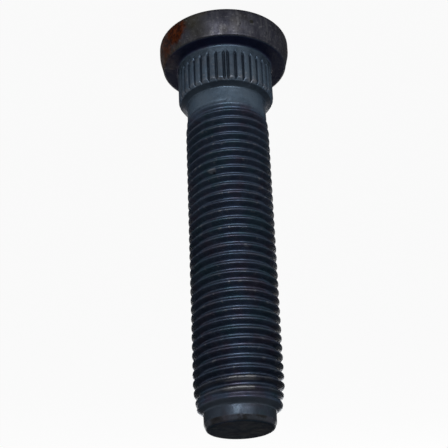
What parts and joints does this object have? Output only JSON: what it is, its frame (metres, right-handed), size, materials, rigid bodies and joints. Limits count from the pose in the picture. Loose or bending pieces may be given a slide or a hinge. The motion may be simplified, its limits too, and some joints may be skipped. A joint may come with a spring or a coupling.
{
  "type": "wheel stud",
  "caption": "Press-in wheel stud: round head, serrated collar, short plain neck, long right-hand thread and a plain pilot at the tip.",
  "frame": {"origin": "centre of the head's outer face, on which the stud stands", "axes": "+Z along the stud's axis from the head to the tip; -Y is the side that the picture shows"},
  "size_m": [0.022, 0.022, 0.0684],
  "materials": {
    "dark_steel": "dark blued, dull, with a little rust on the head"
  },
  "bodies": {
    "root": {"wheel_stud": "dark_steel"}
  },
  "joints": []
}
